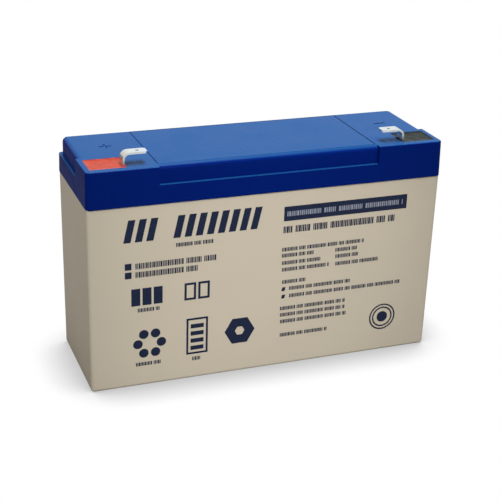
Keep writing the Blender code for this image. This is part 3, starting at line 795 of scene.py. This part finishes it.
@dataclass
class Terminals:
    """The two tabs, their posts, and the resin that is poured round them.

    Attributes:
        skin: How deep the piece of poured resin is, in metres.
        dip: How far the middle of the resin lies under the lid's top.
        creep: How far the resin draws in from a wall before it lies level.
        overlap: How far the resin enters the pocket's wall, which closes the seam.
        below_top: How far the highest resin at a wall stays under the lid's top.
        fine: How many squares the resin has along its length.
        riser: How far the tab's upright part reaches from the pocket's inner end.
        tab_fillet: How high the resin climbs the tab.
        tab_creep: How far it draws in from the tab before it lies level.
        swell: How high the faint waves of its surface are.
        swell_rate: How fast they follow each other along X and Y, in radians to the metre.
        swell_start: Where in a wave they start along Y, in radians.
    """

    workshop: Workshop
    skin: float = 1.6 * MM
    dip: float = 0.38 * MM
    creep: float = 0.75 * MM
    overlap: float = 0.34 * MM
    below_top: float = 0.02 * MM
    fine: int = 56
    riser: float = 1.3 * MM
    tab_fillet: float = 0.35 * MM
    tab_creep: float = 0.4 * MM
    swell: float = 0.05 * MM
    swell_rate: Span = (1100.0, 900.0)
    swell_start: float = 1.0

    def height(self, place: Vector, low: Vector, high: Vector, tab: tuple[Vector, Vector]) -> float:
        """Gives the height of the poured resin at a place.

        Args:
            place: The place.
            low: Lowest corner of the pocket's filling.
            high: Its highest corner, at the level of the lid's top.
            tab: Lowest and highest corner of the tab's upright part.

        Returns:
            The height, in metres.
        """
        wall = min(place.x - low.x, high.x - place.x, place.y - low.y, high.y - place.y)
        aside = Vector((
            max(tab[0].x - place.x, 0.0, place.x - tab[1].x),
            max(tab[0].y - place.y, 0.0, place.y - tab[1].y),
        )).length
        climb = self.dip * math.exp(-max(wall, 0.0) / self.creep)
        along, over = self.swell_rate
        swell = math.sin(place.x * along) * math.cos(place.y * over + self.swell_start)
        fillet = self.tab_fillet * math.exp(-aside / self.tab_creep)
        return high.z - self.dip + climb + self.swell * swell + fillet

    def build_resin(self, pole: Pole) -> None:
        """Fills one terminal pocket with resin that climbs a little at the walls and at the tab."""
        name = pole.name.lower()
        low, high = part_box(f"resin_pad_{name}")
        tab_low, tab_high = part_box(f"terminal_tab_{name}")
        lid_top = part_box("cover_plate")[1].z
        low = low - Vector((self.overlap, self.overlap, 0.0))
        high = Vector((high.x + self.overlap, high.y + self.overlap, lid_top - self.below_top))
        inner = high.x if pole is Pole.POSITIVE else low.x
        riser = sorted((inner, inner + pole.value * self.riser))
        tab = (Vector((riser[0], tab_low.y, 0.0)), Vector((riser[1], tab_high.y, 0.0)))
        size = high - low
        bm = bmesh.new()
        across = round(self.fine * size.y / size.x)
        bmesh.ops.create_grid(bm, x_segments=self.fine, y_segments=across, size=0.5)
        bmesh.ops.scale(bm, vec=(size.x, size.y, 1.0), verts=bm.verts)
        bmesh.ops.translate(bm, vec=(low + high) / 2, verts=bm.verts)
        for vert in bm.verts:
            vert.co.z = self.height(vert.co, low, high, tab)
        skirt = bmesh.ops.extrude_edge_only(bm, edges=open_edges(bm))
        for item in skirt["geom"]:
            if isinstance(item, bmesh.types.BMVert):
                item.co.z = high.z - self.skin
        bmesh.ops.holes_fill(bm, edges=open_edges(bm), sides=0)
        for face in bm.faces:
            face.smooth = abs(face.normal.z) > 0.5  # the top, and not the skirt
        finish, slot = POLE_RESINS[pole]
        self.workshop.piece(f"{name}_resin", bm, finish, slot, stands_for=f"resin_pad_{name}")

    def build(self) -> None:
        """Dresses the metal and pours the resin."""
        for pole in Pole:
            name = pole.name.lower()
            self.workshop.dress(f"terminal_tab_{name}", TAB_METAL)
            self.workshop.dress(f"terminal_post_{name}", LEAD)
            self.build_resin(pole)


@dataclass(frozen=True)
class Rhythm:
    """How the blocks of a printed row follow each other, in millimetres.

    Attributes:
        high: How high the blocks are.
        widths: How wide they are, over and over.
        gap: The gap between two blocks.
        space: The gap between two groups of blocks.
        groups: How many blocks each group has, over and over.
    """

    high: float
    widths: tuple[float, ...]
    gap: float
    space: float
    groups: tuple[int, ...]

    def blocks(self, left: float, right: float) -> Iterator[Span]:
        """Gives the blocks that fit between two ends.

        Args:
            left: Where the row starts.
            right: Where it ends at the latest.

        Yields:
            The left and the right edge of the next block.
        """
        widths = cycle(self.widths)
        x = left
        for count in cycle(self.groups):
            for wide in islice(widths, count):
                if x + wide > right:
                    return
                yield x, x + wide
                x += wide + self.gap
            x += self.space - self.gap


REVERSED_ROW = Rhythm(2.1, (0.45, 0.75, 0.40, 0.55, 0.40, 0.85), 0.34, 1.45, (17, 6, 12))
BOLD_ROW = Rhythm(2.9, (0.55, 0.40, 0.85, 0.45, 0.65), 0.24, 1.45, (5, 8, 8, 24))
BULLET_ROW = Rhythm(2.45, (0.50, 0.35, 0.70, 0.40), 0.25, 1.15, (27, 9))
SMALL_ROW = Rhythm(1.65, (0.45, 0.30, 0.60, 0.35), 0.20, 0.75, (11, 5, 14, 7, 4))


@dataclass
class FrontPrint:
    """Plain printing on the front: bars, blocks and simple figures, with no lettering.

    Places are in millimetres on the front face, X from the middle and Z from the floor.

    Attributes:
        ink: How thick one layer of ink is, in metres.
        sunk: How far the ink reaches into the plastic.
        slant: How far a leaning bar leans for its height.
        foot_y: Where the front face stands at the floor, in metres.
        shoulder_y: Where it stands at the container's shoulder.
        shoulder_z: The height of the shoulder.
        proud: How far what is now printed stands out of the plastic.
        bm: The mesh of the piece that is now printed.
    """

    workshop: Workshop
    ink: float = 0.03 * MM
    sunk: float = 0.05 * MM
    slant: float = 0.22
    foot_y: float = -0.02445
    shoulder_y: float = -0.0248
    shoulder_z: float = 0.0787
    proud: float = field(init=False)
    bm: bmesh.types.BMesh = field(init=False)

    def on_face(self, x: float, z: float) -> Matrix:
        """Gives the turn and place of a flat shape at a point of the front face.

        Args:
            x: Its middle along the front, in millimetres.
            z: Its middle in height.

        Returns:
            The matrix from the shape's own frame, X along and Z up, to the part's.
        """
        lean = math.atan2(self.foot_y - self.shoulder_y, self.shoulder_z)
        y = self.foot_y + (self.shoulder_y - self.foot_y) * (z * MM) / self.shoulder_z
        place = Vector((x * MM, y, z * MM))
        return Matrix.Translation(place) @ Matrix.Rotation(lean, 4, "X")

    def box(self, left: float, base: float, right: float, top: float, slant: float = 0.0) -> None:
        """Adds a filled bar, upright or leaning to the right.

        Args:
            left: Left edge at the base, in millimetres.
            base: Lower edge.
            right: Right edge at the base.
            top: Upper edge.
            slant: How far it leans for its height.
        """
        wide, high = (right - left) * MM, (top - base) * MM
        shape = Matrix((
            (wide, 0.0, slant * high, slant * high / 2),
            (0.0, self.proud + self.sunk, 0.0, (self.sunk - self.proud) / 2),
            (0.0, 0.0, high, 0.0),
            (0.0, 0.0, 0.0, 1.0),
        ))
        at = self.on_face((left + right) / 2, (base + top) / 2)
        bmesh.ops.create_cube(self.bm, size=1.0, matrix=at @ shape)

    def outline(self, left: float, base: float, right: float, top: float, stroke: float) -> None:
        """Adds the outline of a box, made of four bars.

        Args:
            left: Its left side, in millimetres.
            base: Its lower side.
            right: Its right side.
            top: Its upper side.
            stroke: How wide the bars are.
        """
        self.box(left, base, left + stroke, top)
        self.box(right - stroke, base, right, top)
        self.box(left + stroke, base, right - stroke, base + stroke)
        self.box(left + stroke, top - stroke, right - stroke, top)

    def disc(self, x: float, z: float, radius: float, sides: int = 40) -> None:
        """Adds a filled disc.

        Args:
            x: Its middle along the front, in millimetres.
            z: Its middle in height.
            radius: Its radius.
            sides: How many sides it has.
        """
        sink = Matrix.Translation((0.0, (self.sunk - self.proud) / 2, 0.0))
        bmesh.ops.create_cone(
            self.bm, cap_ends=True, segments=sides, radius1=radius * MM, radius2=radius * MM,
            depth=self.proud + self.sunk,
            matrix=self.on_face(x, z) @ sink @ Matrix.Rotation(math.pi / 2, 4, "X"),
        )

    def ring(self, x: float, z: float, radius: float, stroke: float, sides: int = 48) -> None:
        """Adds a ring, or the outline of a regular shape of a few sides.

        Args:
            x: Its middle along the front, in millimetres.
            z: Its middle in height.
            radius: Its outer radius.
            stroke: How wide its line is.
            sides: How many sides it has.
        """
        bm = bmesh.new()
        inner, outer = (radius - stroke) * MM, radius * MM
        out, deep = -self.proud, self.sunk
        section = ((inner, out), (outer, out), (outer, deep), (inner, deep))
        face = bm.faces.new([bm.verts.new((reach, y, 0.0)) for reach, y in section])
        bmesh.ops.spin(
            bm, geom=[face, *face.edges, *face.verts], cent=(0, 0, 0), axis=(0, 1, 0),
            dvec=(0, 0, 0), angle=2 * math.pi, steps=sides, use_merge=True, use_duplicate=False,
        )
        inside = [
            face
            for face in bm.faces
            if all(abs(vert.co.z) < SAME_PLACE and vert.co.x > 0 for vert in face.verts)
        ]
        bmesh.ops.delete(bm, geom=inside, context="FACES_ONLY")
        bmesh.ops.remove_doubles(bm, verts=bm.verts, dist=SAME_PLACE)
        bmesh.ops.transform(bm, matrix=self.on_face(x, z), verts=bm.verts)
        mesh = bpy.data.meshes.new("ring")
        bm.to_mesh(mesh)
        bm.free()
        self.bm.from_mesh(mesh)
        bpy.data.meshes.remove(mesh)

    def row(self, left: float, base: float, right: float, rhythm: Rhythm) -> None:
        """Adds a row of small blocks in groups, as the grey of a line of small print.

        Args:
            left: Where the row starts, in millimetres.
            base: Its lower edge.
            right: Where it ends at the latest.
            rhythm: How its blocks follow each other.
        """
        for start, end in rhythm.blocks(left, right):
            self.box(start, base, end, base + rhythm.high)

    def start(self, layers: int = 1) -> None:
        """Starts an empty mesh for the next piece of printing.

        Args:
            layers: How many layers of ink thick it stands.
        """
        self.bm = bmesh.new()
        self.proud = layers * self.ink

    def done(self, name: str, finish: Finish) -> None:
        """Makes the printed mesh a piece."""
        self.workshop.piece(f"print_{name}", self.bm, finish, Slot.CONTAINER)

    def build_heading(self) -> None:
        """Two groups of leaning bars where the front carries its heading."""
        pitch, wide = 4.6, 2.9
        self.start()
        for first, count in ((-61.2, 3), (-41.0, 8)):
            for index in range(count):
                left = first + index * pitch
                self.box(left, 64.0, left + wide, 73.4, self.slant)
        self.done("heading", NAVY_INK)

    def build_banner(self) -> None:
        """The dark bar, and the pale row of blocks that it leaves open."""
        self.start()
        self.box(5.6, 65.9, 60.8, 72.2)
        self.done("banner", NAVY_INK)
        self.start(layers=2)
        self.row(7.0, 67.95, 58.9, REVERSED_ROW)
        self.done("banner_row", BARE_PLASTIC)

    def build_bold_rows(self) -> None:
        """Rows of larger blocks: the one beneath the bar and the two with square bullets."""
        self.start()
        self.row(5.6, 60.7, 56.0, BOLD_ROW)
        for base, right in ((52.4, -22.4), (48.7, -30.0)):
            self.box(-60.7, base, -58.0, base + 2.8)
            self.row(-56.4, base + 0.1, right, BULLET_ROW)
        self.done("bold_rows", NAVY_INK)

    def build_small_rows(self) -> None:
        """The rows of small print, as grey rows of small blocks."""
        places = (
            (5.4, 52.6, 42.3), (5.4, 49.9, 19.6), (5.6, 46.6, 22.7), (5.7, 43.6, 26.8),
            (29.3, 49.7, 39.1), (29.5, 46.8, 40.3), (29.7, 43.4, 49.3),
            (6.0, 38.0, 16.9), (9.2, 34.8, 37.8), (9.4, 31.4, 60.7),
            (5.6, 25.9, 35.1), (5.7, 22.9, 35.2), (5.9, 19.8, 36.1), (6.0, 13.5, 27.5),
            (-39.8, 60.1, -24.1), (-55.6, 33.6, -46.2), (-56.5, 9.3, -46.0), (-32.6, 8.4, -29.0),
        )
        self.start()
        for left, base, right in places:
            self.row(left, base, right, SMALL_ROW)
        for base in (34.7, 31.3):
            self.box(5.8, base, 7.3, base + 1.7, self.slant)
        self.done("small_rows", NAVY_INK)

    def build_figures(self) -> None:
        """Plain figures: blocks, frames, six discs, a box of bars, a nut and a target."""
        self.start()
        for left in (-58.2, -53.6, -49.0):
            self.box(left, 36.5, left + 3.7, 44.0)
        for left in (-36.2, -30.4):
            self.outline(left, 36.2, left + 4.9, 43.8, 0.95)
        discs, reach = 6, 4.9
        for index in range(discs):
            turn = 2 * math.pi / discs * index
            x, z = -50.7 + reach * math.cos(turn), 19.2 + reach * math.sin(turn)
            self.disc(x, z, 2.0, 28)
        self.outline(-35.2, 11.4, -26.0, 27.8, 0.85)
        for base in (13.3, 16.6, 19.9, 23.2):
            self.box(-33.4, base, -27.8, base + 1.9)
        self.ring(-12.1, 19.2, 6.6, 4.5, 6)
        self.disc(53.5, 16.3, 2.5)
        for radius in (6.1, 4.7):
            self.ring(53.5, 16.3, radius, 0.65)
        self.done("figures", NAVY_INK)

    def build(self) -> None:
        """Prints the front."""
        self.build_heading()
        self.build_banner()
        self.build_bold_rows()
        self.build_small_rows()
        self.build_figures()


@dataclass(frozen=True)
class Lamp:
    """One soft lamp.

    Attributes:
        name: Its name.
        place: Where it hangs, in metres.
        aim: The point that it faces.
        size: Its width and height, in metres. A spot's width is that of its bulb.
        power: Its power, in watts.
        beam: The full angle of a spot's beam in radians, or 0 for a soft box.
        taller: How many times as tall as wide the spot's beam is.
    """

    name: str
    place: Triple
    aim: Triple
    size: Span
    power: float
    beam: float = 0.0
    taller: float = 1.0

    def hang(self) -> None:
        """Makes the lamp and turns it to its aim."""
        data = bpy.data.lights.new(self.name, "SPOT" if self.beam else "AREA")
        data.energy = self.power
        if self.beam:
            data.spot_size, data.spot_blend, data.shadow_soft_size = self.beam, 1.0, self.size[0]
        else:
            data.shape = "RECTANGLE"
            data.size, data.size_y = self.size
        lamp = stand(self.name, data)
        turn = (Vector(self.place) - Vector(self.aim)).to_track_quat("Z", "Y").to_matrix().to_4x4()
        stretch = Matrix.Diagonal((1.0, self.taller, 1.0, 1.0))
        lamp.matrix_world = Matrix.Translation(self.place) @ turn @ stretch


STRAIGHT_RAYS = ("Is Camera Ray", "Is Transmission Ray")
MIRRORED_RAYS = ("Is Glossy Ray",)
LAMPS = (
    Lamp("top_box", place=(0.12, 0.02, 1.1), aim=(0.12, 0.02, 0.0), size=(0.36, 1.0), power=21.6),
    Lamp(
        "left_spot", place=(-1.0, -0.22, 0.55), aim=(-0.0755, 0.0, 0.085), size=(0.06, 0.06),
        power=13.0, beam=math.radians(15),
    ),
    Lamp(
        "front_spot", place=(-0.01, -1.0, 0.35), aim=(-0.004, -0.025, 0.050), size=(0.05, 0.05),
        power=18.2, beam=math.radians(14), taller=1.7,
    ),
)


@dataclass
class Studio:
    """The floor, the lamps, the sky and the camera.

    Attributes:
        azimuth: The camera's place round the part, in degrees.
        elevation: Its height above the horizon, in degrees.
        roll: How far its picture is turned, in degrees.
        distance: How far it stands from what it looks at, in metres.
        aim: What it looks at, as a height and two shifts across and up its picture.
        focal_pixels: Its focal length, in pixels of the picture.
        picture: How wide the picture is, in pixels.
        sensor: How wide the sensor is, in millimetres.
        clip: How near and how far it sees, in metres.
        floor_side: How long each side of the floor is, in metres.
        floor_colour: How pale the floor is to the light that it throws back.
        shadow_reach: How far from the part the floor darkens, in metres.
        shadow_samples: How many rays find that out.
        shadow_open: How open the floor's view is where it is darkest and where it is white.
        shadow_tone: How bright the floor looks at those two.
        mirror_edge: Where along Y the floor in front turns into the floor behind, in metres.
        mirror_tone: How much brighter than its paint each of the two looks in a mirror.
        sky_light: How bright the sky is to matt surfaces, where 1 is white.
    """

    azimuth: float = -20.965
    elevation: float = 22.997
    roll: float = 1.790
    distance: float = 0.513615
    aim: Triple = (0.047, 0.000667, -0.002818)
    focal_pixels: float = 1204.821
    picture: float = 500.0
    sensor: float = 36.0
    clip: Span = (0.01, 50.0)
    floor_side: float = 8.0
    floor_colour: float = 0.14
    shadow_reach: float = 0.026
    shadow_samples: int = 16
    shadow_open: Span = (0.50, 0.88)
    shadow_tone: Span = (0.57, 1.00)
    mirror_edge: Span = (-0.08, -0.02)
    mirror_tone: Span = (0.75, 0.00)
    sky_light: float = 0.22

    def build_camera(self) -> None:
        """Stands the camera where the picture was taken from."""
        turn, rise = math.radians(self.azimuth), math.radians(self.elevation)
        flat = math.cos(rise)
        back = Vector((math.sin(turn) * flat, -math.cos(turn) * flat, math.sin(rise)))
        right = (-back).cross(Vector((0, 0, 1))).normalized()
        up = right.cross(-back)
        roll = math.radians(self.roll)
        right, up = (
            math.cos(roll) * right + math.sin(roll) * up,
            -math.sin(roll) * right + math.cos(roll) * up,
        )
        height, across, upward = self.aim
        target = Vector((0, 0, height)) + right * across + up * upward
        data = bpy.data.cameras.new("camera")
        data.sensor_width = self.sensor
        data.lens = self.focal_pixels * self.sensor / self.picture
        data.clip_start, data.clip_end = self.clip
        camera = stand("camera", data)
        axes = Matrix((right, up, back)).transposed().to_4x4()
        camera.matrix_world = Matrix.Translation(target + back * self.distance) @ axes
        bpy.context.scene.camera = camera

    def paint_floor(self) -> bpy.types.Material:
        """Makes the floor's paint: white where it is seen, but darker close to the part.

        In mirrors it is bright in front of the part and falls to its own paint near it.

        Returns:
            The paint.
        """
        sheet = NodeSheet("floor_white")
        open_view = sheet.add("ShaderNodeAmbientOcclusion", samples=self.shadow_samples)
        open_view.inputs["Distance"].default_value = self.shadow_reach
        tone = sheet.between(open_view.outputs["AO"], self.shadow_open, self.shadow_tone)
        near = sheet.between(sheet.along("Y"), self.mirror_edge, self.mirror_tone)
        straight = sheet.shown_by(STRAIGHT_RAYS)
        lit = sheet.combine("MULTIPLY", straight, tone)
        mirrored = sheet.combine("MULTIPLY", sheet.shown_by(MIRRORED_RAYS), near)
        paint = sheet.between(straight, FULL, (self.floor_colour, 0.0))
        sheet.wire(paint, sheet.shader.inputs["Base Color"])
        seen = sheet.combine("MAXIMUM", lit, mirrored)
        sheet.wire(seen, sheet.shader.inputs["Emission Strength"])
        sheet.plain(Roughness=0.9, Specular_IOR_Level=0.0, Emission_Color=WHITE)
        return sheet.material

    def build_floor(self) -> None:
        """Lays the pale floor."""
        bm = bmesh.new()
        bmesh.ops.create_grid(bm, x_segments=2, y_segments=2, size=self.floor_side / 2)
        mesh = bpy.data.meshes.new("floor")
        bm.to_mesh(mesh)
        bm.free()
        mesh.materials.append(self.paint_floor())
        stand("floor", mesh)

    def build_sky(self) -> None:
        """Makes the world: white where it is shown, and a weaker light on matt surfaces."""
        world = bpy.data.worlds.new("studio")
        world.use_nodes = True
        nodes = Nodes(world.node_tree)
        sky = nodes.tree.nodes["Background"]
        sky.inputs["Color"].default_value = WHITE
        shown = nodes.shown_by(STRAIGHT_RAYS + MIRRORED_RAYS)
        nodes.wire(nodes.between(shown, FULL, (self.sky_light, 1.0)), sky.inputs["Strength"])
        bpy.context.scene.world = world

    def build(self) -> None:
        """Sets up the whole studio."""
        self.build_floor()
        self.build_sky()
        for lamp in LAMPS:
            lamp.hang()
        self.build_camera()
        bpy.context.scene.view_settings.view_transform = "Standard"


def main() -> None:
    """Builds the sub-assemblies in order, then the studio."""
    logging.basicConfig(level=logging.INFO, format="%(name)s: %(message)s")
    workshop = Workshop()
    for assembly in (Case(workshop), Terminals(workshop), Cells(workshop), FrontPrint(workshop)):
        log.info("building the %s", type(assembly).__name__)
        assembly.build()
    Studio().build()


if __name__ == "__main__":
    main()
